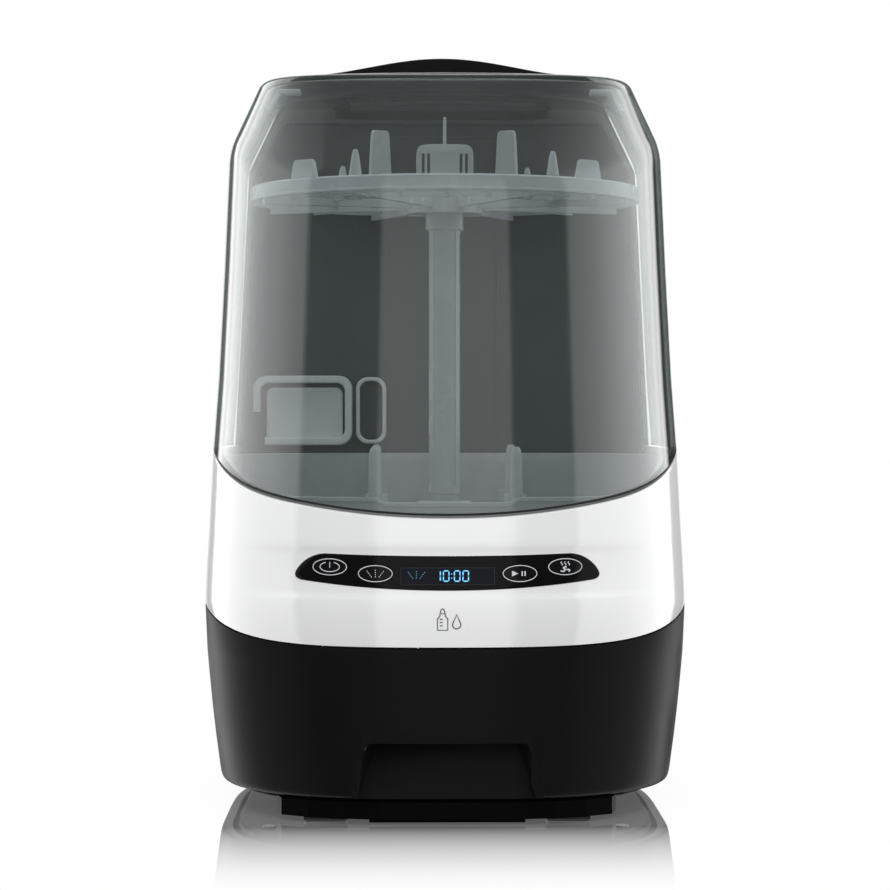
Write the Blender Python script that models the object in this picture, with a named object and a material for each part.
"""Countertop bottle washer and sterilizer, built as an assembly of separate pieces.

Sizes in this script are millimetres, and every mesh is scaled to metres as it is made.
Frame: the origin lies under the middle of the body at floor level, +X points to the
user's right, +Y to the back of the appliance and +Z up.
"""

import math

import bmesh
import bpy
from mathutils import Vector

MM = 0.001
GAP = 0.3  # clearance between pieces that touch on the real object

# Body outline: two half superellipses that meet on the wash chamber's axis
AXIS_Y = -25.0
FRONT_REACH = 150.0
REAR_REACH = 200.0
FRONT_POWER = 2.8
REAR_POWER = 5.0
WIDEST = 150.3
WIDTH_STATIONS = (  # height and half width
    (8.0, 139.2),
    (40.0, 143.6),
    (80.0, 147.8),
    (123.0, 150.3),
    (215.0, 144.9),
    (405.0, 134.7),
)

# Heights of the body's seams
BASE_BOTTOM = 15.5
PAN_BOTTOM = 3.0
PAN_HALF_WIDTH = 102.0
PAN_REAR = 145.0
SEAM_FRONT = 105.0
SEAM_RISE = 19.0
RIM_FRONT = 181.0
CREASE_FRONT = 379.0
CREASE_RISE = 26.0
WALL = 2.6

# Hood
HOOD_WALL = 3.0
HOOD_REAR = 84.0
ROOF_Z = 446.0
ROOF_HALF_WIDTH = 115.0
ROOF_FRONT_REACH = 90.0
ROOF_DOME = 4.0
HINGE_Y = 92.0
HINGE_Z = 449.0

# Rear column, arched on top
COLUMN_FRONT = 104.3
COLUMN_REAR = 124.5
COLUMN_FOOT = 218.8
ARCH_TOP = 482.0
ARCH_DROP = 12.0
ARCH_HALF_WIDTH = 100.0
CAP_FOOT = 455.0
CAP_FRONT = 98.5
CAP_HALF_WIDTH = 112.0

# Wash chamber
TUB_FLOOR = 126.0
TUB_INSET = 9.0
TUB_REAR_REACH = 118.0
RACK_RADIUS = 123.0
LOWER_RACK_Z = 172.0
LOWER_RACK_RADIUS = 113.0
UPPER_RACK_Z = 376.0
COLUMN_TUBE_RADIUS = 10.0
COLUMN_FOOT_RADIUS = 9.0

# Water tanks behind the column
TANK_FRONT = 128.0
TANK_TOP = 440.0
TANK_WALL = 2.4
LID_HINGE_Y = 131.0
LID_HINGE_Z = 446.5

# Control panel: distances along X from its middle
KEY_HALF_WIDTH = 10.5
KEY_HALF_HEIGHT = 5.2
KEYS = (
    ("power", -68.9, 152.5),
    ("wash", -42.2, 148.8),
    ("start_pause", 42.2, 148.8),
    ("dry", 68.9, 152.5),
)
PANEL_HALF_WIDTH = 89.0
PANEL_SLOPE = 19.0
PANEL_CORNER = 4.0
PANEL_TIP = 148.0
DISPLAY_HALF_WIDTH = 27.5
DISPLAY_Z = (142.0, 152.6)

MATERIALS = {
    "black_plastic": ((0.012, 0.012, 0.013), 0.38, 0.0),
    "white_plastic": ((0.86, 0.87, 0.88), 0.16, 0.0),
    "panel_gloss": ((0.008, 0.008, 0.010), 0.08, 0.0),
    "key_gloss": ((0.012, 0.012, 0.014), 0.10, 0.0),
    "display_glow": ((0.02, 0.10, 0.22), 0.20, 0.0),
    "smoke_clear": ((0.16, 0.20, 0.19), 0.05, 0.0),
    "tank_clear": ((0.34, 0.38, 0.40), 0.12, 0.0),
    "tub_grey": ((0.30, 0.31, 0.32), 0.35, 0.0),
    "rack_grey": ((0.62, 0.65, 0.66), 0.30, 0.0),
    "wall_grey": ((0.09, 0.095, 0.10), 0.42, 0.0),
    "seal_rubber": ((0.02, 0.02, 0.02), 0.75, 0.0),
    "inner_plastic": ((0.55, 0.56, 0.57), 0.50, 0.0),
    "steel": ((0.60, 0.60, 0.61), 0.28, 1.0),
    "motor_metal": ((0.35, 0.35, 0.36), 0.35, 1.0),
    "board_green": ((0.03, 0.20, 0.09), 0.45, 0.0),
    "filter_white": ((0.75, 0.76, 0.74), 0.85, 0.0),
    "hose_silicone": ((0.70, 0.71, 0.70), 0.50, 0.0),
}

# Joint axes: each moving piece hangs on an empty that stands here
PIVOTS = {
    "hood": (0.0, HINGE_Y, HINGE_Z),
    "upper_rack": (0.0, AXIS_Y, UPPER_RACK_Z),
    "lower_rack": (0.0, AXIS_Y, LOWER_RACK_Z),
    "spray_arm": (0.0, AXIS_Y, 145.0),
    "sump_filter": (0.0, AXIS_Y, 118.0),
    "wash_impeller": (48.0, -60.0, 48.0),
    "drain_impeller": (-60.0, -40.0, 44.0),
    "blower_wheel": (-64.0, 136.0, 130.0),
    "air_filter": (-50.0, 140.0, 78.0),
    "clean_tank": (-66.0, 150.0, COLUMN_FOOT),
    "dirty_tank": (66.0, 150.0, COLUMN_FOOT),
    "clean_tank_lid": (-60.0, LID_HINGE_Y, LID_HINGE_Z),
    "dirty_tank_lid": (60.0, LID_HINGE_Y, LID_HINGE_Z),
}


# ---------------------------------------------------------------- formulas


def smoothstep(value):
    value = min(1.0, max(0.0, value))
    return value * value * (3.0 - 2.0 * value)


def half_width(z):
    """Half the body's width at height z, between the stations."""
    stations = WIDTH_STATIONS
    if z <= stations[0][0]:
        return stations[0][1]
    for (z_low, w_low), (z_high, w_high) in zip(stations, stations[1:]):
        if z <= z_high:
            return w_low + (w_high - w_low) * (z - z_low) / (z_high - z_low)
    return stations[-1][1]


def front_reach(z):
    return FRONT_REACH * half_width(z) / WIDEST


def seam_height(x, y):
    """Height of the joint between the base and the band: low in front, higher at the sides."""
    return SEAM_FRONT + SEAM_RISE * smoothstep((y + 185.0) / 130.0)


def rim_height(x, y):
    """Height of the band's upper edge, where the hood lands: it climbs round the front only."""
    climb = x * x if y < AXIS_Y else 145.0 * 145.0
    return RIM_FRONT + 0.00105 * climb + 15.5 * smoothstep((y + 150.0) / 95.0)


def crease_height(x, y):
    """Height of the edge where the hood's wall turns into its sloping roof."""
    return CREASE_FRONT + CREASE_RISE * smoothstep((y + 165.0) / 90.0)


def tub_height(x, y):
    return 193.0 + 21.0 * smoothstep((y + 145.0) / 80.0)


def rear_x(y, half, reach=REAR_REACH):
    """X of the outline's rear half at depth y."""
    share = min(1.0, max(0.0, (y - AXIS_Y) / reach))
    return half * (1.0 - share**REAR_POWER) ** (1.0 / REAR_POWER)


def front_y(x, half, reach):
    """Y of the outline's front half at distance x from the middle."""
    share = min(1.0, abs(x) / half)
    return AXIS_Y - reach * (1.0 - share**FRONT_POWER) ** (1.0 / FRONT_POWER)


def superellipse(angle, half, front, rear):
    cosine, sine = math.cos(angle), math.sin(angle)
    power = 2.0 / (FRONT_POWER if sine < 0 else REAR_POWER)
    x = math.copysign(abs(cosine) ** power, cosine) * half
    y = math.copysign(abs(sine) ** power, sine) * (front if sine < 0 else rear)
    return x, AXIS_Y + y


def closed_outline(half, front, rear=REAR_REACH, front_steps=18, rear_steps=16):
    """The whole outline, anticlockwise from the right-hand end of the chamber axis."""
    rear_part = [math.pi * k / rear_steps for k in range(rear_steps)]
    front_part = [math.pi + math.pi * k / front_steps for k in range(front_steps)]
    return [superellipse(a, half, front, rear) for a in rear_part + front_part]


def body_ring(height, inset=0.0, rear=REAR_REACH, nominal=None, scoop=0.0):
    """A closed ring on the body's surface. height is a number or a function of x and y."""
    z = height if nominal is None else nominal
    ring = []
    for x, y in closed_outline(half_width(z) - inset, front_reach(z) - inset, rear - inset):
        top = height(x, y) if callable(height) else height
        dent = scoop * (1.0 - smoothstep((abs(x) - 85.0) / 50.0)) if y < AXIS_Y else 0.0
        ring.append((x, y + dent, top))
    return ring


def u_outline(half, front, y_rear, rear=REAR_REACH, front_steps=20, side_steps=2):
    """The outline without its back: from the right rear edge round the front to the left."""
    depths = [y_rear + (AXIS_Y - y_rear) * k / side_steps for k in range(side_steps)]
    right = [(rear_x(y, half, rear), y) for y in depths]
    angles = [-math.pi * k / front_steps for k in range(front_steps + 1)]
    front_part = [superellipse(angle, half, front, rear) for angle in angles]
    left = [(-x, y) for x, y in reversed(right)]
    return right + front_part + left


# ---------------------------------------------------------------- mesh helpers


def clear_scene():
    for obj in list(bpy.data.objects):
        bpy.data.objects.remove(obj)


def make_materials():
    made = {}
    for name, (color, roughness, metallic) in MATERIALS.items():
        material = bpy.data.materials.new(name)
        material.use_nodes = True
        shader = material.node_tree.nodes["Principled BSDF"]
        shader.inputs["Base Color"].default_value = (*color, 1.0)
        shader.inputs["Roughness"].default_value = roughness
        shader.inputs["Metallic"].default_value = metallic
        material.diffuse_color = (*color, 1.0)
        made[name] = material
    return made


def make_pivots():
    made = {}
    places = dict(PIVOTS)
    for name, x, z in KEYS:
        places[name + "_key"] = (x, front_y(x, half_width(z), front_reach(z)), z)
    for name, place in places.items():
        empty = bpy.data.objects.new("axis_" + name, None)
        empty.empty_display_size = 0.01
        empty.location = Vector(place) * MM
        bpy.context.scene.collection.objects.link(empty)
        made[name] = empty
    return made


def add_piece(name, points, faces, material=None, pivot=None, smooth=True):
    """One object from points in millimetres. A piece with no material is a helper."""
    origin = pivots[pivot].location if pivot else Vector((0.0, 0.0, 0.0))
    mesh = bpy.data.meshes.new(name)
    mesh.from_pydata([Vector(p) * MM - origin for p in points], [], faces)
    shell = bmesh.new()
    shell.from_mesh(mesh)
    bmesh.ops.remove_doubles(shell, verts=shell.verts, dist=1e-6)
    bmesh.ops.recalc_face_normals(shell, faces=shell.faces)
    if shell.calc_volume(signed=True) < 0:
        bmesh.ops.reverse_faces(shell, faces=shell.faces)
    shell.to_mesh(mesh)
    shell.free()
    obj = bpy.data.objects.new(name, mesh)
    bpy.context.scene.collection.objects.link(obj)
    if material is None:
        obj.hide_render = True
        obj.display_type = "WIRE"
    else:
        mesh.materials.append(materials[material])
    if smooth:
        mesh.shade_smooth()
        mesh.set_sharp_from_angle(angle=math.radians(35.0))
    if pivot:
        obj.parent = pivots[pivot]
    return obj


def strips(rows, closed_rows):
    """Quads between neighbouring rows of point indices."""
    faces = []
    for low, high in zip(rows, rows[1:]):
        count = len(low)
        for k in range(count if closed_rows else count - 1):
            n = (k + 1) % count
            faces.append((low[k], low[n], high[n], high[k]))
    return faces


def numbered(rows):
    """All the rows' points in one list, and the rows as index lists."""
    points, index = [], []
    for row in rows:
        index.append(list(range(len(points), len(points) + len(row))))
        points.extend(row)
    return points, index


def ring_body(name, rings, **options):
    """A closed body whose rings run up its outside and back down its inside."""
    points, rows = numbered(rings)
    return add_piece(name, points, strips(rows + rows[:1], True), **options)


def capped_body(name, rings, **options):
    """Rings joined in order, with a flat cap on the first and on the last."""
    points, rows = numbered(rings)
    faces = strips(rows, True) + [tuple(reversed(rows[0])), tuple(rows[-1])]
    return add_piece(name, points, faces, **options)


def thick_grid(name, front, back, **options):
    """A closed body between two grids of points with the same shape."""
    points, rows = numbered(front + back)
    height = len(front)
    front_rows, back_rows = rows[:height], rows[height:]
    faces = strips(front_rows, False) + strips(back_rows, False)

    def border(grid):
        right = [row[-1] for row in grid]
        left = [row[0] for row in reversed(grid)]
        return grid[0][:-1] + right[:-1] + list(reversed(grid[-1]))[:-1] + left[:-1]

    faces += strips([border(front_rows), border(back_rows)], True)
    return add_piece(name, points, faces, **options)


def turned(name, profile, centre, steps=24, **options):
    """A closed profile of (radius, z) spun about a vertical axis at centre."""
    rings = []
    for radius, z in profile:
        radius = max(radius, 0.0)
        ring = []
        for k in range(steps):
            angle = 2.0 * math.pi * k / steps
            ring.append((centre[0] + radius * math.cos(angle), centre[1] + radius * math.sin(angle), z))
        rings.append(ring)
    return ring_body(name, rings, **options)


def tube(name, centre, outer, inner, z_low, z_high, steps=24, **options):
    profile = [(outer, z_low), (outer, z_high), (inner, z_high), (inner, z_low)]
    return turned(name, profile, centre, steps, **options)


def disc_ring(centre, radius, z, steps=24):
    angles = [2.0 * math.pi * k / steps for k in range(steps)]
    return [(centre[0] + radius * math.cos(a), centre[1] + radius * math.sin(a), z) for a in angles]


def rod(name, centre, profile, steps=24, **options):
    """A solid stack of discs: profile holds (radius, z) from the bottom up."""
    return capped_body(name, [disc_ring(centre, r, z, steps) for r, z in profile], **options)


def x_rod(name, y, z, radius, x_low, x_high, steps=20, **options):
    """A solid cylinder along X."""
    angles = [2.0 * math.pi * k / steps for k in range(steps)]
    circle = [(y + radius * math.cos(a), z + radius * math.sin(a)) for a in angles]
    rings = [[(x, cy, cz) for cy, cz in circle] for x in (x_low, x_high)]
    return capped_body(name, rings, **options)


def box(name, low, high, **options):
    rings = []
    for z in (low[2], high[2]):
        corners = ((low[0], low[1]), (high[0], low[1]), (high[0], high[1]), (low[0], high[1]))
        rings.append([(x, y, z) for x, y in corners])
    return capped_body(name, rings, smooth=False, **options)


def turned_bar(name, start, end, width, z_low, z_high, centre, angle, **options):
    """A straight bar that lies along a radius from start to end, at an angle about centre."""
    cosine, sine = math.cos(angle), math.sin(angle)
    corners = [(start, -width / 2), (end, -width / 2), (end, width / 2), (start, width / 2)]
    turned_corners = [
        (centre[0] + u * cosine - v * sine, centre[1] + u * sine + v * cosine) for u, v in corners
    ]
    rings = [[(x, y, z) for x, y in turned_corners] for z in (z_low, z_high)]
    return capped_body(name, rings, smooth=False, **options)


def combine(target, operation, helpers):
    """A Boolean of target with helper objects, which stay in the file as hidden guides."""
    group = bpy.data.collections.new(target.name + "_" + operation.lower())
    bpy.context.scene.collection.children.link(group)
    for helper in helpers:
        bpy.context.scene.collection.objects.unlink(helper)
        group.objects.link(helper)
        helper.hide_render = True
        helper.display_type = "WIRE"
    modifier = target.modifiers.new(operation.lower(), "BOOLEAN")
    modifier.operation = operation
    modifier.operand_type = "COLLECTION"
    modifier.collection = group
    modifier.solver = "EXACT"
    return target


def fuse(target, *helpers):
    return combine(target, "UNION", helpers)


def cut(target, *helpers):
    return combine(target, "DIFFERENCE", helpers)


def hose(name, path, radius, material):
    """A flexible hose: a round section swept along a smooth path."""
    data = bpy.data.curves.new(name, "CURVE")
    data.dimensions = "3D"
    data.bevel_depth = radius * MM
    data.bevel_resolution = 1
    data.use_fill_caps = True
    data.resolution_u = 3
    spline = data.splines.new("BEZIER")
    spline.bezier_points.add(len(path) - 1)
    for point, place in zip(spline.bezier_points, path):
        point.co = Vector(place) * MM
        point.handle_left_type = "AUTO"
        point.handle_right_type = "AUTO"
    data.materials.append(materials[material])
    obj = bpy.data.objects.new(name, data)
    bpy.context.scene.collection.objects.link(obj)
    return obj


# ---------------------------------------------------------------- base and band


def build_base_housing():
    """Black lower shell with the front finger grip and the openings in its back."""
    rings = [
        body_ring(BASE_BOTTOM, 4.0),
        body_ring(BASE_BOTTOM + 1.2, 1.6),
        body_ring(BASE_BOTTOM + 4.0),
        body_ring(40.0),
        body_ring(80.0),
        body_ring(lambda x, y: seam_height(x, y) - GAP, nominal=115.0),
        body_ring(lambda x, y: seam_height(x, y) - GAP, WALL, nominal=115.0),
        body_ring(80.0, WALL),
        body_ring(40.0, WALL),
        body_ring(BASE_BOTTOM + 3.0, WALL + 2.0),
        body_ring(BASE_BOTTOM, WALL + 4.0),
    ]
    shell = ring_body("base_housing", rings, material="black_plastic")
    grip_top, grip_half, grip_inner, grip_depth = 49.0, 53.5, 41.0, 26.0
    front = AXIS_Y - front_reach(30.0)
    low = (-grip_half - 3, front + 5, BASE_BOTTOM + 0.4)
    block = box("grip_block", low, (grip_half + 3, front + grip_depth + 3, grip_top + 3))
    foot = BASE_BOTTOM - 5.0
    mouth = [(-grip_half, foot), (grip_half, foot), (grip_half - 2, grip_top), (2 - grip_half, grip_top)]
    back = [
        (-grip_half, foot, front + 4.0),
        (grip_half, foot, front + 4.0),
        (grip_inner, grip_top, front + grip_depth),
        (-grip_inner, grip_top, front + grip_depth),
    ]
    rings = [[(x, front - 12.0, z) for x, z in mouth], [(x, y, z) for x, z, y in back]]
    scoop = capped_body("grip_scoop", rings, smooth=False)
    inlet_hole = box("inlet_hole", (30.0, 160.0, 34.0), (62.0, 190.0, 58.0))
    filter_hole = box("filter_hole", (-84.0, 160.0, 62.0), (-16.0, 190.0, 94.0))
    fuse(shell, block)
    cut(shell, scoop, inlet_hole, filter_hole)


def pan_ring(z):
    """The outline a little inside the base, with straight sides and a straight back."""
    ring = []
    for x, y, _ in body_ring(BASE_BOTTOM, 5.0):
        corner = (max(-PAN_HALF_WIDTH, min(PAN_HALF_WIDTH, x)), min(PAN_REAR, y), z)
        if corner not in ring:
            ring.append(corner)
    return ring


def build_bottom_cover():
    """Floor plate with a shallow pan under it, held by four screws."""
    plate_low, plate_high = BASE_BOTTOM - 4.0, BASE_BOTTOM - GAP
    rings = [body_ring(plate_low, 12.0), body_ring(plate_low + 1.0, 10.0), body_ring(plate_high, 10.0)]
    cover = capped_body("bottom_cover", rings, material="black_plastic")
    pan = capped_body("floor_pan", [pan_ring(z) for z in (PAN_BOTTOM, plate_low + 1.5)])
    sill = box("front_sill", (-46.0, -156.0, 1.0), (46.0, -60.0, PAN_BOTTOM + 2.0))
    holes = []
    for x, hand in ((-108.0, "left"), (108.0, "right")):
        for y, end in ((-95.0, "front"), (130.0, "rear")):
            name = f"{end}_{hand}"
            bore = [(4.4, plate_low - 3.0), (4.4, plate_high + 3.0)]
            holes.append(rod("screw_hole_" + name, (x, y), bore, 10))
            head = plate_low - 1.8
            profile = [(4.0, head), (4.0, head + 2.4), (1.9, head + 2.6)]
            profile += [(1.9, head + 17.8), (0.6, head + 19.8)]
            screw = rod("screw_" + name, (x, y), profile, 8, material="steel")
            low, high = (x - 3.0, y - 0.5, head - 1.0), (x + 3.0, y + 0.5, head + 1.0)
            cut(screw, box("screw_slot_" + name, low, high))
    fuse(cover, pan, sill)
    cut(cover, *holes)


def build_feet():
    for side, hand in ((-1, "left"), (1, "right")):
        for y, end in ((-137.0, "front"), (132.0, "rear")):
            x = side * 72.0
            rings = []
            for z, inset in ((0.0, 1.5), (1.5, 0.0), (PAN_BOTTOM - GAP, 0.0)):
                a, b = 13.0 - inset, 10.0 - inset
                corners = ((-a, -b), (a, -b), (a, b), (-a, b))
                rings.append([(x + u, y + v, z) for u, v in corners])
            capped_body(f"foot_{end}_{hand}", rings, material="seal_rubber", smooth=False)


def panel_edges(x, grow=0.0):
    """Lower and upper edge of the crescent panel at x: its ends slope down to a tip."""
    end = PANEL_HALF_WIDTH + grow
    share = (x / PANEL_HALF_WIDTH) ** 2
    reach = max(0.0, 1.0 - (end - abs(x)) / PANEL_SLOPE)
    corner = max(0.0, 1.0 - (end - abs(x)) / PANEL_CORNER)
    high = PANEL_TIP + (158.6 + 2.0 * share - PANEL_TIP) * max(0.005, 1.0 - reach**2) ** 0.75
    low = PANEL_TIP - (PANEL_TIP - 139.3 - 6.2 * share) * math.sqrt(max(0.0004, 1.0 - corner**2))
    return low - grow, high + grow


def band_y(x, z, inset):
    """Y of the band's front surface, which is scooped by a little more than a millimetre."""
    dent = 1.2 * (1.0 - smoothstep((abs(x) - 85.0) / 50.0))
    return front_y(x, half_width(z) - inset, front_reach(z) - inset) + dent


def panel_grid(inset, grow):
    end = PANEL_HALF_WIDTH + grow
    steps = 20
    rows = []
    for share in (0.0, 0.5, 1.0):
        row = []
        for k in range(steps + 1):
            x = -end * math.cos(math.pi * k / steps)
            low, high = panel_edges(x, grow)
            z = low + (high - low) * share
            row.append((x, band_y(x, z, inset), z))
        rows.append(row)
    return rows


def build_band():
    """Glossy white waist with the opening for the control panel."""
    levels = (
        (lambda x, y: seam_height(x, y) + GAP, 0.0, 115.0, 0.0),
        (132.0, 0.0, None, 0.0),
        (137.0, 0.0, None, 1.2),
        (160.0, 0.0, None, 1.2),
        (165.0, 0.0, None, 0.0),
        (lambda x, y: rim_height(x, y) - 1.2, 0.0, 205.0, 0.0),
        (rim_height, 0.9, 205.0, 0.0),
        (rim_height, 2.4, 205.0, 0.0),
        (lambda x, y: rim_height(x, y) - 4.0, 3.0, 205.0, 0.0),
        (165.0, 3.0, None, 0.0),
        (132.0, 3.0, None, 0.0),
        (lambda x, y: seam_height(x, y) + GAP, 3.0, 115.0, 0.0),
    )
    rings = [body_ring(height, inset, nominal=at, scoop=scoop) for height, inset, at, scoop in levels]
    band = ring_body("mid_band", rings, material="white_plastic")
    cut(band, thick_grid("panel_opening", panel_grid(-4.0, GAP), panel_grid(8.0, GAP)))


def key_rings(x0, z0, half_x, half_z, insets):
    rings = []
    for inset in insets:
        ring = []
        for k in range(16):
            angle = 2.0 * math.pi * k / 16
            x = x0 + half_x * math.cos(angle)
            z = z0 + half_z * math.sin(angle)
            ring.append((x, band_y(x, z, inset), z))
        rings.append(ring)
    return rings


def build_panel():
    """Black lens, its four oval keys and what lies behind them."""
    lens = thick_grid("panel_lens", panel_grid(-0.5, 0.0), panel_grid(1.7, 0.0), material="panel_gloss")
    holes = []
    for name, x, z in KEYS:
        rings = key_rings(x, z, KEY_HALF_WIDTH + GAP, KEY_HALF_HEIGHT + GAP, (-4.0, 6.0))
        holes.append(capped_body(name + "_key_hole", rings))
        rings = key_rings(x, z, KEY_HALF_WIDTH, KEY_HALF_HEIGHT, (-0.6, 1.6))
        rings[0] = key_rings(x, z, KEY_HALF_WIDTH - 0.4, KEY_HALF_HEIGHT - 0.4, (-0.6,))[0]
        rings.insert(1, key_rings(x, z, KEY_HALF_WIDTH, KEY_HALF_HEIGHT, (-0.2,))[0])
        capped_body(name + "_key", rings, material="key_gloss", pivot=name + "_key")
    cut(lens, *holes)
    low, high = DISPLAY_Z
    steps = 8
    grids = []
    for inset in (2.1, 5.0):
        grid = []
        for z in (low, high):
            xs = [-DISPLAY_HALF_WIDTH + 2 * DISPLAY_HALF_WIDTH * k / steps for k in range(steps + 1)]
            grid.append([(x, band_y(x, z, inset), z) for x in xs])
        grids.append(grid)
    thick_grid("display_module", grids[0], grids[1], material="display_glow", smooth=False)
    box("control_board", (-70.0, -160.9, 139.0), (70.0, -159.5, 161.0), material="board_green")


# ---------------------------------------------------------------- wash chamber


def build_tub():
    """Grey basin: its flange lies inside the band, its wall stands up behind the hood."""
    lower = 16.0

    def tub_ring(height, inset, nominal=None):
        outward = 5.4 if inset < TUB_INSET else 0.0
        thick = 2.2 if inset in (TUB_INSET + 2.2, lower + 2.2) else 0.0
        return body_ring(height, inset, TUB_REAR_REACH + inset + outward - thick, nominal)

    def small_ring(z, half):
        return [(x, y, z) for x, y in closed_outline(half, half, half)]

    rings = [
        small_ring(TUB_FLOOR, 62.0),
        body_ring(140.0, 30.0, TUB_REAR_REACH + 16.0),
        tub_ring(150.0, lower),
        tub_ring(170.0, lower),
        tub_ring(lambda x, y: rim_height(x, y) - 7.0, TUB_INSET, 195.0),
        tub_ring(lambda x, y: rim_height(x, y) - 6.0, 3.6, 195.0),
        tub_ring(lambda x, y: rim_height(x, y) - 4.5, 3.6, 195.0),
        tub_ring(lambda x, y: rim_height(x, y) - 4.3, TUB_INSET, 195.0),
        tub_ring(tub_height, TUB_INSET, 200.0),
        tub_ring(tub_height, TUB_INSET + 2.2, 200.0),
        tub_ring(171.0, lower + 2.2),
        tub_ring(151.0, lower + 2.2),
        body_ring(142.2, 31.5, TUB_REAR_REACH + 16.0),
        small_ring(TUB_FLOOR + 2.2, 60.0),
    ]
    tub = capped_body("wash_tub", rings, material="tub_grey")
    cut(tub, rod("sump_hole", (0.0, AXIS_Y), [(27.0, 110.0), (27.0, 140.0)], 20))


def build_sump():
    centre = (0.0, AXIS_Y)
    cup = [(26.6, 96.0), (26.6, 127.6), (24.4, 127.6), (24.4, 98.2), (11.0, 98.2), (11.0, 96.0)]
    turned("sump_cup", cup, centre, 20, material="tub_grey")
    basket = [(23.6, 106.0), (23.6, 127.0), (21.8, 127.0), (21.8, 107.6), (11.4, 107.6), (11.4, 106.0)]
    sieve = turned("sump_filter", basket, centre, 20, material="inner_plastic", pivot="sump_filter")
    bar = turned_bar("filter_grip", 12.5, 22.6, 3.0, 107.0, 124.0, centre, 0.0)
    other = turned_bar("filter_grip_left", 12.5, 22.6, 3.0, 107.0, 124.0, centre, math.pi)
    fuse(sieve, bar, other)
    coil = [(54.0, 119.0), (54.0, 125.7), (34.0, 125.7), (34.0, 119.0)]
    turned("steam_heater", coil, centre, 24, material="steel")


def build_spray_arm():
    """Two-armed rotor that turns on the column under the lower rack."""
    centre = (0.0, AXIS_Y)
    hub = tube("spray_arm", centre, 15.0, 10.0, 134.0, 152.0, material="rack_grey", pivot="spray_arm")
    arms = []
    for k in range(2):
        angle = math.radians(28.0) + math.pi * k
        arms.append(turned_bar(f"arm_{k}", 13.0, 92.0, 17.0, 140.0, 148.0, centre, angle))
        for n, radius in enumerate((34.0, 58.0, 82.0)):
            place = (centre[0] + radius * math.cos(angle), centre[1] + radius * math.sin(angle))
            arms.append(rod(f"jet_{k}_{n}", place, [(3.2, 147.0), (2.2, 150.5)], 10))
    fuse(hub, *arms)


def bottle_places(radius=62.0, first=45.0):
    angles = [math.radians(first + 90.0 * k) for k in range(4)]
    return [(radius * math.cos(a), AXIS_Y + radius * math.sin(a)) for a in angles]


def build_lower_rack():
    """Open grille that holds four bottles neck down over their jets."""
    centre = (0.0, AXIS_Y)
    z = LOWER_RACK_Z
    radius = LOWER_RACK_RADIUS
    options = {"material": "rack_grey", "pivot": "lower_rack"}
    rim = tube("lower_rack", centre, radius, radius - 3.5, z - 5.0, z + 9.0, 28, **options)
    parts = [tube("lower_hub", centre, 17.0, 11.0, z - 2.0, z + 14.0, 20)]
    for k in range(8):
        angle = math.radians(45.0 * k)
        spoke = turned_bar(f"lower_spoke_{k}", 15.0, radius - 2.0, 5.0, z - 2.0, z + 2.5, centre, angle)
        parts.append(spoke)
    nozzle = [(6.0, z - 1.0), (5.0, z + 10.0), (3.4, z + 46.0), (1.6, z + 49.0)]
    for k, place in enumerate(bottle_places()):
        parts.append(tube(f"cradle_{k}", place, 31.0, 28.0, z - 1.5, z + 6.0, 14))
        parts.append(rod(f"nozzle_{k}", place, nozzle, 6))
    fuse(rim, *parts)


def build_upper_rack():
    """Round tray for teats and rings, its handle and the column that feeds the upper jets."""
    centre = (0.0, AXIS_Y)
    z = UPPER_RACK_Z
    options = {"material": "rack_grey", "pivot": "upper_rack"}
    rim = tube("upper_rack", centre, RACK_RADIUS, RACK_RADIUS - 3.0, z - 1.5, z + 8.0, 32, **options)
    parts = [
        tube("upper_mid_ring", centre, 76.0, 72.0, z - 2.0, z + 3.0, 20),
        tube("upper_hub", centre, 24.0, 12.5, z - 8.0, z + 4.0, 20),
    ]
    for k in range(8):
        angle = math.radians(22.5 + 45.0 * k)
        parts.append(turned_bar(f"upper_rib_{k}", 20.0, 121.5, 4.0, z - 5.0, z + 2.5, centre, angle))
    spike = [(7.0, z - 1.0), (4.0, z + 12.0), (1.5, z + 27.0)]
    for k, place in enumerate(bottle_places(86.0, 50.0)):
        parts.append(tube(f"teat_seat_{k}", place, 24.0, 21.5, z - 1.5, z + 5.0, 12))
        parts.append(rod(f"teat_spike_{k}", place, spike, 6))
        bar = math.atan2(place[1] - AXIS_Y, place[0])
        parts.append(turned_bar(f"teat_bar_{k}", 70.0, 115.0, 5.0, z - 2.0, z + 2.2, centre, bar))
        tab = math.radians(45.0 + 90.0 * k)
        parts.append(turned_bar(f"rim_tab_{k}", 118.5, 122.0, 22.0, z, z + 19.0, centre, tab))
    for k, degrees in enumerate((56.0, 124.0)):
        post = math.radians(degrees)
        parts.append(turned_bar(f"ring_post_{k}", 72.4, 75.6, 15.0, z, z + 51.0, centre, post))
    fuse(rim, *parts)

    profile = [
        (COLUMN_FOOT_RADIUS, 104.0),
        (COLUMN_FOOT_RADIUS, 190.0),
        (COLUMN_TUBE_RADIUS, 191.0),
        (COLUMN_TUBE_RADIUS, z - 18.5),
        (12.0, z - 18.5),
        (12.0, z + 2.0),
        (6.4, z + 2.0),
        (6.4, 104.0),
    ]
    turned("centre_column", profile, centre, 24, material="rack_grey", pivot="upper_rack")


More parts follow.
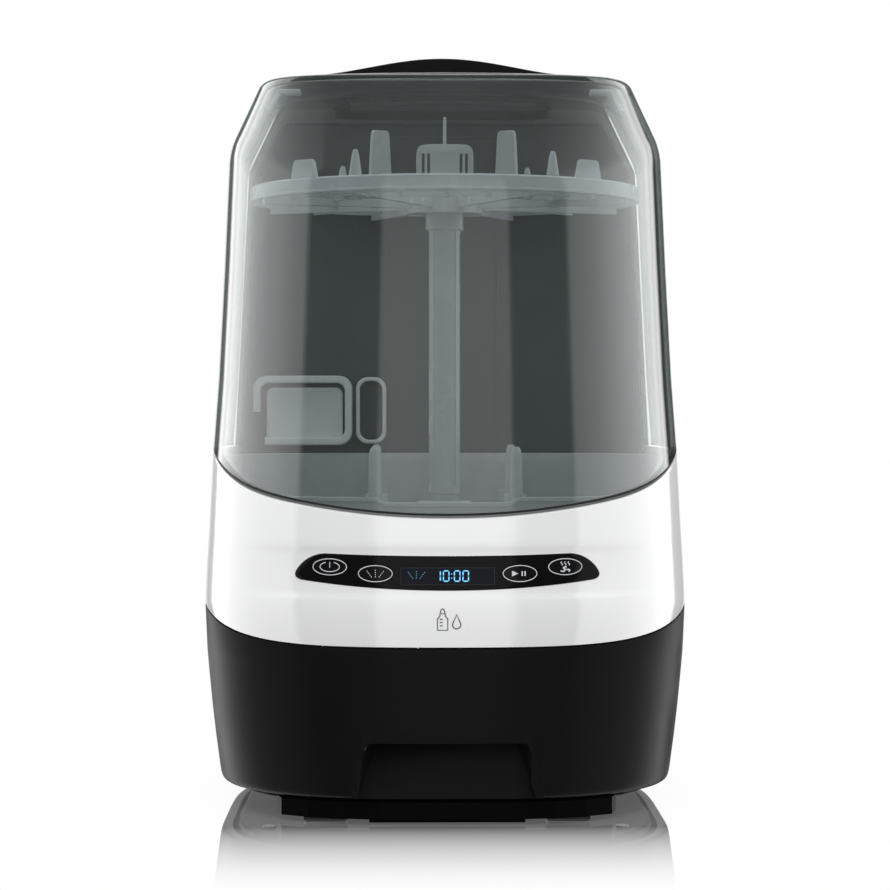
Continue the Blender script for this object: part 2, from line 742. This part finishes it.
def build_rack_handle():
    """Slotted cage in the middle of the tray, with a thin locating fin on top."""
    half_x, half_y, low, high = 18.0, 15.0, UPPER_RACK_Z + 4.3, UPPER_RACK_Z + 35.0
    section = [(-half_x, low), (half_x, low), (half_x, high - 6.0), (half_x - 5.0, high)]
    section += [(5.0 - half_x, high), (-half_x, high - 6.0)]
    rings = [[(x, y, z) for x, z in section] for y in (AXIS_Y - half_y, AXIS_Y + half_y)]
    cage = capped_body("rack_handle", rings, material="rack_grey", pivot="upper_rack", smooth=False)
    fin = box("handle_fin", (-0.9, AXIS_Y - 11.0, high - 1.0), (0.9, AXIS_Y + 11.0, high + 17.5))
    hollow = box("handle_hollow", (-15.4, AXIS_Y - 12.4, low - 2.0), (15.4, AXIS_Y + 12.4, high - 3.0))
    slots = [hollow]
    for k, x in enumerate((-13.6, -10.2, 10.2, 13.6)):
        low_corner = (x - 0.9, AXIS_Y - 20.0, low + 4.0)
        high_corner = (x + 0.9, AXIS_Y + 20.0, high - 6.0)
        slots.append(box(f"handle_slot_{k}", low_corner, high_corner))
    fuse(cage, fin)
    cut(cage, *slots)


# ---------------------------------------------------------------- rear column and tanks


def arch_height(x):
    """The cap's top: a bell curve that runs out flat at its ends."""
    return ARCH_TOP - 0.5 * ARCH_DROP * (1.0 - math.cos(math.pi * x / ARCH_HALF_WIDTH))


def column_section(y, inset, foot=COLUMN_FOOT, top=None):
    """Outline of the column across its width at depth y, from right foot to left foot."""
    side = rear_x(y, 1.0)
    right = [(side * half_width(z) - inset, z) for z in (foot, 300.0, 405.0)]
    arch = []
    for k in range(13):
        x = 96.0 * math.cos(math.pi * k / 12)
        arch.append((x, arch_height(x) - inset))
    if top is not None:
        arch = [(108.0, top), (-108.0, top)]
        shoulder = [(side * 134.7 - inset - 12.5, 431.0)]
    else:
        shoulder = [(CAP_HALF_WIDTH - inset, 452.0 - inset)]
    left = [(-x, z) for x, z in reversed(right + shoulder)]
    return [(x, y, z) for x, z in right + shoulder + arch + left]


def build_column():
    """Dark inner wall, the lip the hood closes over, the black cover and its arched cap."""
    columns, front, back = 12, [], []
    wall_levels = ((214.6, 136.0), (300.0, 134.5), (405.0, 129.0), (430.0, 117.0))
    for z, half in wall_levels + ((CAP_FOOT - GAP, 104.0),):
        shares = [-1.0 + 2.0 * k / columns for k in range(columns + 1)]
        front.append([(half * s, 96.2 + 5.5 * (1.0 - s * s), z) for s in shares])
        back.append([(x, y + 2.0, z) for x, y, z in front[-1]])
    thick_grid("rear_inner_wall", front, back, material="wall_grey")

    def lip_path(inset):
        right = [(0.988 * half_width(z) - HOOD_WALL - 1.6 - inset, z) for z in (222.0, 300.0, 400.0)]
        right.append((108.0 - inset, 438.6 - inset))
        return right + [(-x, z) for x, z in reversed(right)]

    def lip_grid(y):
        return [[(x, y, z) for x, z in lip_path(inset)] for inset in (0.0, 3.0)]

    thick_grid("hood_landing_frame", lip_grid(79.0), lip_grid(95.8), material="wall_grey", smooth=False)

    cap_section = column_section(COLUMN_REAR, 0.0)
    arch = [(x, z) for x, _, z in cap_section if z > CAP_FOOT + 5.0]
    side = [(CAP_HALF_WIDTH, CAP_FOOT), (CAP_HALF_WIDTH, CAP_FOOT + 3.0)]
    edge = side + arch + [(-x, z) for x, z in reversed(side)]
    rings = [[(x, y, z) for x, z in edge] for y in (CAP_FRONT, COLUMN_REAR)]
    cap = capped_body("top_cap", rings, material="black_plastic")
    hollow_edge = [(0.955 * x, CAP_FOOT - 3.0 if z <= CAP_FOOT else z - WALL) for x, z in edge]
    hollow = [[(x, y, z) for x, z in hollow_edge] for y in (CAP_FRONT + WALL, COLUMN_REAR - WALL)]
    cut(cap, capped_body("cap_hollow", hollow))

    top = CAP_FOOT - GAP
    rings = [
        column_section(COLUMN_REAR, 0.0, top=top),
        column_section(COLUMN_FRONT, 0.0, top=top),
        column_section(COLUMN_FRONT, WALL, foot=COLUMN_FOOT + WALL, top=top - WALL),
        column_section(COLUMN_REAR - WALL, WALL, foot=COLUMN_FOOT + WALL, top=top - WALL),
    ]
    cover = capped_body("column_cover", rings, material="black_plastic")
    duct_hole = box("duct_hole", (-98.6, 106.0, 215.0), (-51.4, 120.8, 224.0))
    cut(cover, duct_hole)


def rear_polygon(z, inset, y_from, half):
    """Outline behind y_from, from the right edge round the back to the left edge."""
    reach = REAR_REACH - inset
    start = math.asin(min(1.0, ((y_from - AXIS_Y) / reach) ** (REAR_POWER / 2.0)))
    steps = 16
    angles = [start + (math.pi - 2.0 * start) * k / steps for k in range(steps + 1)]
    return [(*superellipse(a, half - inset, 1.0, reach), z) for a in angles]


def build_tank_shelf():
    z_low, z_high = 210.0, 215.6
    rings = [rear_polygon(z, 3.8, 104.6, half_width(212.0)) for z in (z_low, z_high)]
    shelf = capped_body("tank_shelf", rings, material="black_plastic")
    seats, bores = [], []
    for side in (-1, 1):
        place = (side * 66.0, 150.0)
        seats.append(rod(f"valve_seat_{side}", place, [(11.0, 196.0), (11.0, 211.0)], 20))
        bores.append(rod(f"valve_bore_{side}", place, [(6.0, 190.0), (6.0, 220.0)], 16))
    duct = box("shelf_duct_hole", (-101.0, 106.0, 205.0), (-49.0, 122.0, 220.0))
    fuse(shelf, *seats)
    cut(shelf, duct, *bores)


def tank_ring(z, inset, side):
    """Half of the rear outline on one side of the middle plane."""
    slope = max(0.0, z - 405.0) * 0.5
    half = half_width(z) - slope - inset
    reach = REAR_REACH - inset
    y_from = TANK_FRONT + inset
    inner_x = 0.8 + inset
    start = math.asin(((y_from - AXIS_Y) / reach) ** (REAR_POWER / 2.0))
    steps = 10
    stop = 0.5 * math.pi - 0.06
    angles = [start + (stop - start) * k / steps for k in range(steps + 1)]
    outer = [superellipse(angle, half, 1.0, reach) for angle in angles]
    rear_y = AXIS_Y + reach * (1.0 - (inner_x / half) ** REAR_POWER) ** (1.0 / REAR_POWER)
    ring = [(inner_x, y_from)] + outer + [(inner_x, rear_y)]
    return [(side * x, y, z) for x, y in ring]


def build_tank(name, side):
    rings = [
        tank_ring(COLUMN_FOOT + GAP, 2.0, side),
        tank_ring(COLUMN_FOOT + 2.5, 0.0, side),
        tank_ring(405.0, 0.0, side),
        tank_ring(TANK_TOP, 0.0, side),
        tank_ring(TANK_TOP, TANK_WALL, side),
        tank_ring(405.0, TANK_WALL, side),
        tank_ring(COLUMN_FOOT + 3.5, TANK_WALL, side),
    ]
    capped_body(name, rings, material="tank_clear", pivot=name)
    levels = ((0.7, 1.6), (4.5, 1.6), (6.5, 3.0))
    rings = [tank_ring(TANK_TOP + rise, inset, side) for rise, inset in levels]
    lid = capped_body(name + "_lid", rings, material="black_plastic", pivot=name + "_lid")
    low = (min(side * 35.0, side * 85.0), 147.0, TANK_TOP + 5.0)
    high = (max(side * 35.0, side * 85.0), 159.0, TANK_TOP + 14.0)
    fuse(lid, box(name + "_grip", low, high))


# ---------------------------------------------------------------- hood


def hood_levels(inset, drop):
    """Rows of the hood's surface from its lower edge up to the roof's edge."""

    def row(height, nominal, extra=0.0):
        half = half_width(nominal) - inset
        line = u_outline(half, front_reach(nominal) - inset, HOOD_REAR)
        return [(x, y, height(x, y) + extra) for x, y in line]

    edge = 2.8
    rows = [
        row(rim_height, 205.0, edge),
        row(lambda x, y: 262.0, 262.0),
        row(crease_height, 395.0, -drop * 0.4),
    ]
    for half, reach, z in (
        (ROOF_HALF_WIDTH, ROOF_FRONT_REACH, ROOF_Z),
        (ROOF_HALF_WIDTH - 7.0, ROOF_FRONT_REACH - 7.0, ROOF_Z + 3.5),
    ):
        line = u_outline(half - inset * 0.7, reach - inset * 0.7, HOOD_REAR)
        rows.append([(x, y, z - drop) for x, y in line])
    return rows


def hood_surface(inset, drop):
    """Points, faces and border of one side of the hood."""
    levels = hood_levels(inset, drop)
    points, rows = numbered(levels)
    faces = strips(rows, False)
    edge = rows[-1]
    count, columns = len(edge), 6
    middle = count // 2
    half = levels[-1][0][0]
    cross = []
    for j in range(middle):
        (x, y, z), far = levels[-1][j], levels[-1][count - 1 - j]
        inner = []
        for k in range(1, columns):
            px = x + (far[0] - x) * k / columns
            points.append((px, y, z + ROOF_DOME * (1.0 - (px / x) ** 2) * x / half))
            inner.append(len(points) - 1)
        cross.append([edge[j]] + inner + [edge[count - 1 - j]])
    faces += strips(cross, False)
    tip = edge[middle]
    faces += [(cross[-1][k], cross[-1][k + 1], tip) for k in range(columns)]
    right_down = [row[0] for row in reversed(rows)]
    left_up = [row[-1] for row in rows]
    border = rows[0][:-1] + left_up[:-1] + list(reversed(cross[0]))[:-1] + right_down[:-1]
    return points, faces, border


def build_hood():
    """Clear smoke-tinted hood: a thick shell that is open below and behind."""
    outer_points, outer_faces, outer_border = hood_surface(0.0, 0.0)
    inner_points, inner_faces, inner_border = hood_surface(HOOD_WALL, HOOD_WALL)
    shift = len(outer_points)
    faces = outer_faces + [tuple(i + shift for i in reversed(face)) for face in inner_faces]
    inner_border = [i + shift for i in inner_border]
    faces += strips([outer_border, inner_border], True)
    add_piece("hood_shell", outer_points + inner_points, faces, material="smoke_clear", pivot="hood")

    def seal_row(inset, lift):
        line = u_outline(half_width(205.0) - inset, front_reach(205.0) - inset, HOOD_REAR)
        return [(x, y, rim_height(x, y) + lift) for x, y in line]

    low, high = 1.3, 2.5
    thick_grid(
        "hood_gasket",
        [seal_row(0.1, high), seal_row(0.1, low)],
        [seal_row(3.4, high), seal_row(3.4, low)],
        material="seal_rubber",
        pivot="hood",
    )


def build_hinge():
    """Pin and bracket on the column, and the bar that carries the hood."""
    x_rod("hinge_pin", HINGE_Y, HINGE_Z, 2.5, -74.0, 74.0, 16, material="steel")
    bracket = box("hinge_bracket", (-72.0, 97.2, 440.6), (72.0, 99.0, 454.6), material="wall_grey")
    ears = []
    for side in (-1, 1):
        for x in (48.0, 66.0):
            left, right = side * x - 3.0, side * x + 3.0
            name = f"ear_{side}_{x:.0f}"
            ears.append(x_rod(name, HINGE_Y, HINGE_Z, 5.2, left, right, 12))
            ears.append(box(name + "_web", (left, HINGE_Y, 444.2), (right, 98.0, 453.8)))
    fuse(bracket, *ears)
    cut(bracket, x_rod("bracket_bore", HINGE_Y, HINGE_Z, 2.75, -90.0, 90.0, 16))

    options = {"material": "smoke_clear", "pivot": "hood"}
    bar = box("hood_hinge_bar", (-62.0, 62.0, 442.6), (62.0, 82.0, 446.0), **options)
    lugs = []
    for side in (-1, 1):
        x = side * 57.0
        lugs.append(x_rod(f"lug_{side}", HINGE_Y, HINGE_Z, 4.6, x - 5.4, x + 5.4, 12))
        lugs.append(box(f"lug_web_{side}", (x - 5.0, 78.0, 443.0), (x + 5.0, HINGE_Y - 1.0, 446.0)))
    fuse(bar, *lugs)
    cut(bar, x_rod("lug_bore", HINGE_Y, HINGE_Z, 2.75, -90.0, 90.0, 16))


# ---------------------------------------------------------------- pumps, air and power


def wheel_blades(name, centre, count, inner, outer, z_low, z_high, thickness):
    angles = [2.0 * math.pi * k / count for k in range(count)]
    return [
        turned_bar(f"{name}_blade_{k}", inner, outer, thickness, z_low, z_high, centre, angle)
        for k, angle in enumerate(angles)
    ]


def build_pump(name, impeller, centre, radius, z_low, height):
    """Vertical pump: an open-eyed volute, its bladed impeller and the motor on top."""
    x, y = centre
    z_high = z_low + height
    profile = [
        (radius, z_low),
        (radius, z_high),
        (radius - 2.5, z_high),
        (radius - 2.5, z_low + 2.5),
        (6.0, z_low + 2.5),
        (6.0, z_low),
    ]
    volute = turned(name + "_housing", profile, centre, 18, material="inner_plastic")
    low, high = (x + radius - 4, y - 5, z_low + 4), (x + radius + 16, y + 5, z_low + 14)
    fuse(volute, box(name + "_outlet", low, high))
    profile = [(radius - 6.0, z_low + 6.0), (radius - 6.0, z_low + 8.0)]
    profile += [(2.0, z_low + 8.0), (2.0, z_high + 8.0)]
    disc = rod(impeller, centre, profile, material="inner_plastic", pivot=impeller)
    fuse(disc, *wheel_blades(impeller, centre, 6, 1.0, radius - 7.0, z_low + 7.5, z_high - 3.0, 1.8))
    motor_profile = [
        (radius - 3.0, z_high + GAP),
        (radius - 3.0, z_high + 3.0),
        (radius - 6.0, z_high + 3.0),
        (radius - 6.0, z_high + 34.0),
        (2.6, z_high + 34.0),
        (2.6, z_high + GAP),
    ]
    turned(name + "_motor", motor_profile, centre, 16, material="motor_metal")


def build_blower():
    """Centrifugal blower with the filter under its eye, the duct and the air heater."""
    centre = PIVOTS["blower_wheel"][:2]
    x = centre[0]
    profile = [(33.0, 108.0), (33.0, 146.0), (4.0, 146.0), (4.0, 143.5), (30.5, 143.5), (30.5, 110.5)]
    profile += [(18.0, 110.5), (18.0, 108.0)]
    housing = turned("blower_housing", profile, centre, 20, material="inner_plastic")
    outlet = box("blower_outlet", (x - 24.0, 106.4, 141.0), (x + 14.0, 118.0, 156.0))
    fuse(housing, outlet)
    wheel = rod(
        "blower_wheel",
        centre,
        [(26.0, 138.0), (26.0, 140.5), (3.0, 140.5), (3.0, 150.0)],
        material="motor_metal",
        pivot="blower_wheel",
    )
    blades = wheel_blades("blower", centre, 10, 20.0, 26.0, 116.0, 139.0, 1.2)
    fuse(wheel, tube("blower_ring", centre, 26.4, 24.4, 114.0, 117.0, 16), *blades)

    box("air_heater", (-94.0, 109.0, 170.0), (-56.0, 118.0, 190.0), material="motor_metal")
    duct = box("air_duct", (-98.0, 106.6, 156.6), (-52.0, 120.2, 262.0), material="inner_plastic")
    cut(
        duct,
        box("duct_bore", (-96.5, 108.0, 150.0), (-53.5, 118.8, 260.6)),
        box("duct_mouth", (-96.5, 100.0, 232.0), (-53.5, 112.0, 258.0)),
    )


def rounded_outline(x_low, x_high, z_low, z_high, radius, steps=5):
    corners = (
        (x_high - radius, z_low + radius, -90.0),
        (x_high - radius, z_high - radius, 0.0),
        (x_low + radius, z_high - radius, 90.0),
        (x_low + radius, z_low + radius, 180.0),
    )
    points = []
    for cx, cz, first in corners:
        for k in range(steps + 1):
            angle = math.radians(first + 90.0 * k / steps)
            points.append((cx + radius * math.cos(angle), cz + radius * math.sin(angle)))
    return points


def build_air_outlet():
    """Warm-air outlet: a rounded frame round a louvred panel on the left of the rear wall."""
    x_low, x_high, z_low, z_high, radius = -128.0, -61.0, 219.5, 266.5, 9.0

    def ring(inset, y):
        corner = radius - inset * 0.7
        line = rounded_outline(x_low + inset, x_high - inset, z_low + inset, z_high - inset, corner)
        return [(x, y, z) for x, z in line]

    rings = [ring(0.0, 95.8), ring(0.0, 85.0), ring(5.5, 85.0), ring(5.5, 95.8)]
    frame = ring_body("air_outlet", rings, material="rack_grey")
    louvres = []
    for k in range(5):
        z = z_low + 8.5 + 7.2 * k
        louvres.append(box(f"louvre_{k}", (x_low + 4.0, 89.0, z), (x_high - 4.0, 94.0, z + 2.4)))
    fuse(frame, *louvres)


def build_filter():
    """Air filter cartridge that draws out of the back of the base."""
    options = {"material": "filter_white", "pivot": "air_filter"}
    cartridge = box("air_filter", (-80.0, 112.0, 66.0), (-20.0, 170.0, 90.0), **options)
    window = box("filter_window", (-72.0, 118.0, 60.0), (-28.0, 162.0, 95.0))
    pleats = []
    for k in range(1, 11):
        x = -73.0 + 4.0 * k
        pleats.append(box(f"pleat_{k}", (x, 117.0, 70.0), (x + 1.4, 163.0, 86.0)))
    plate = box("filter_front", (-83.5, 169.0, 62.5), (-16.5, 172.2, 93.5))
    cut(cartridge, window)
    fuse(cartridge, plate, *pleats)


def build_electrics():
    board = box("main_board", (26.0, 150.0, 70.0), (112.0, 151.8, 180.0), material="board_green")
    blocks = [
        box("transformer", (34.0, 128.0, 80.0), (62.0, 150.5, 108.0)),
        box("relay", (72.0, 134.0, 84.0), (92.0, 150.5, 98.0)),
        box("heat_sink", (36.0, 136.0, 130.0), (66.0, 150.5, 160.0)),
    ]
    for k, x in enumerate((76.0, 88.0)):
        blocks.append(box(f"capacitor_{k}", (x, 130.0, 120.0), (x + 8.0, 150.5, 128.0)))
    fuse(board, *blocks)
    inlet = box("power_inlet", (30.4, 150.0, 34.4), (61.6, 173.4, 57.6), material="black_plastic")
    pins = []
    for k, x in enumerate((40.5, 49.5)):
        pins.append(box(f"inlet_pin_{k}", (x, 155.0, 44.0), (x + 2.2, 168.0, 48.0)))
    cut(inlet, box("inlet_socket", (33.0, 156.0, 37.0), (59.0, 180.0, 55.0)))
    fuse(inlet, *pins)
    box("lid_switch", (112.0, 107.0, 192.0), (124.0, 119.0, 209.0), material="inner_plastic")


def build_hoses():
    """The wash pump feeds the sump's column, the drain pump lifts dirty water to its tank."""
    feed = [(95.0, -60.0, 41.0), (104.0, -52.0, 52.0), (72.0, -10.0, 92.0), (32.6, -25.0, 105.0)]
    drain = [(-19.0, -40.0, 39.0), (-2.0, -10.0, 40.0), (14.0, 100.0, 70.0)]
    drain += [(20.0, 116.0, 150.0), (50.0, 143.0, 200.0)]
    hose("feed_hose", feed, 4.5, "hose_silicone")
    hose("drain_hose", drain, 4.5, "hose_silicone")


def build():
    build_base_housing()
    build_bottom_cover()
    build_feet()
    build_band()
    build_panel()
    build_tub()
    build_sump()
    build_spray_arm()
    build_lower_rack()
    build_upper_rack()
    build_rack_handle()
    build_column()
    build_tank_shelf()
    build_tank("clean_tank", -1)
    build_tank("dirty_tank", 1)
    build_hood()
    build_hinge()
    build_pump("wash_pump", "wash_impeller", (48.0, -60.0), 27.0, 32.0, 24.0)
    build_pump("drain_pump", "drain_impeller", (-60.0, -40.0), 20.0, 30.0, 20.0)
    build_blower()
    build_air_outlet()
    build_filter()
    build_electrics()
    build_hoses()


clear_scene()
materials = make_materials()
pivots = make_pivots()
bpy.context.view_layer.update()
build()
